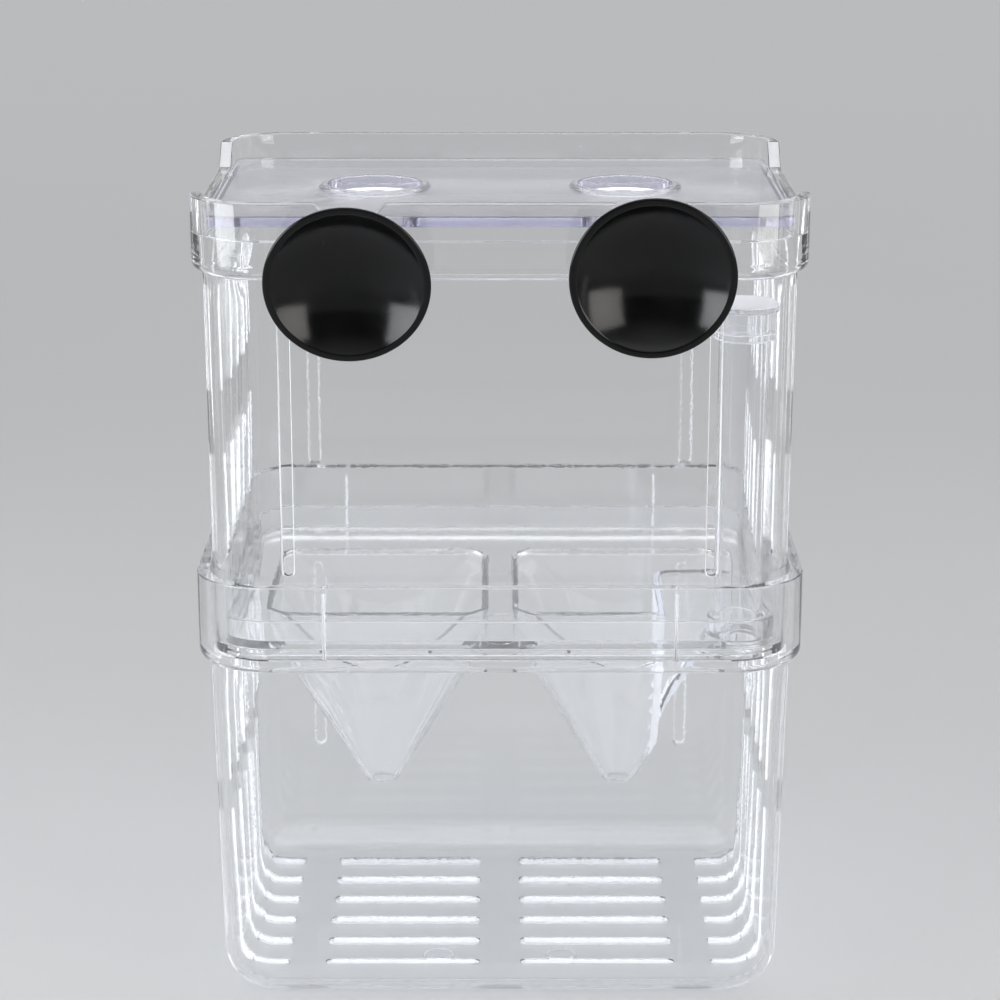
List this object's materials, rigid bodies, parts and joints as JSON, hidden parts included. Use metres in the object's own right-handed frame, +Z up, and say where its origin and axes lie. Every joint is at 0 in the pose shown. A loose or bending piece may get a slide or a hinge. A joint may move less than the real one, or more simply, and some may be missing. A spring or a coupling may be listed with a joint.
{
  "type": "fish breeding box",
  "caption": "Clear two-room breeding box that hangs in an aquarium, with a funnelled floor between its rooms, a ported lid, a feed tube and suction cups.",
  "frame": {"origin": "middle of the lower room's underside, on the surface that the box can stand on", "axes": "+Z up to the lid, -Y towards the suction cups, which is the front, and +X to the right seen from the cups"},
  "size_m": [0.1314, 0.1181, 0.1839],
  "materials": {
    "clear_body": "gloss, crystal clear",
    "tinted_lid": "gloss, clear with a faint lavender tint",
    "clear_tube": "gloss, clear",
    "cup_rubber": "smooth and glossy, black"
  },
  "bodies": {
    "lower_box": {"lower_box": "clear_body"},
    "upper_box": {"upper_box": "clear_body"},
    "funnel_tray": {"funnel_tray": "clear_body", "funnel_left": "clear_body", "funnel_right": "clear_body"},
    "lid": {"lid": "tinted_lid"},
    "feed_tube": {"feed_tube": "clear_tube"},
    "feed_tube_cap": {"feed_tube_cap": "clear_tube"},
    "suction_cup_left": {"suction_cup_left": "cup_rubber"},
    "suction_cup_right": {"suction_cup_right": "cup_rubber"}
  },
  "joints": [
    {"name": "upper_box_lift", "type": "slide", "parent": "lower_box", "child": "upper_box", "axis": [0, 0, 1], "range_m": [0, 0.07]},
    {"name": "lid_lift", "type": "slide", "parent": "upper_box", "child": "lid", "axis": [0, 0, 1], "range_m": [0, 0.03]},
    {"name": "tray_lift", "type": "slide", "parent": "upper_box", "child": "funnel_tray", "axis": [0, 0, 1], "range_m": [0, 0.014]},
    {"name": "feed_tube_pull", "type": "slide", "parent": "funnel_tray", "child": "feed_tube", "axis": [0, 0, 1], "range_m": [0, 0.014]},
    {"name": "cap_pull", "type": "slide", "parent": "feed_tube", "child": "feed_tube_cap", "axis": [0, 0, 1], "range_m": [0, 0.008]},
    {"name": "suction_cup_left_lift", "type": "slide", "parent": "upper_box", "child": "suction_cup_left", "axis": [0, 0, 1], "range_m": [0, 0.02]},
    {"name": "suction_cup_right_lift", "type": "slide", "parent": "upper_box", "child": "suction_cup_right", "axis": [0, 0, 1], "range_m": [0, 0.02]}
  ]
}
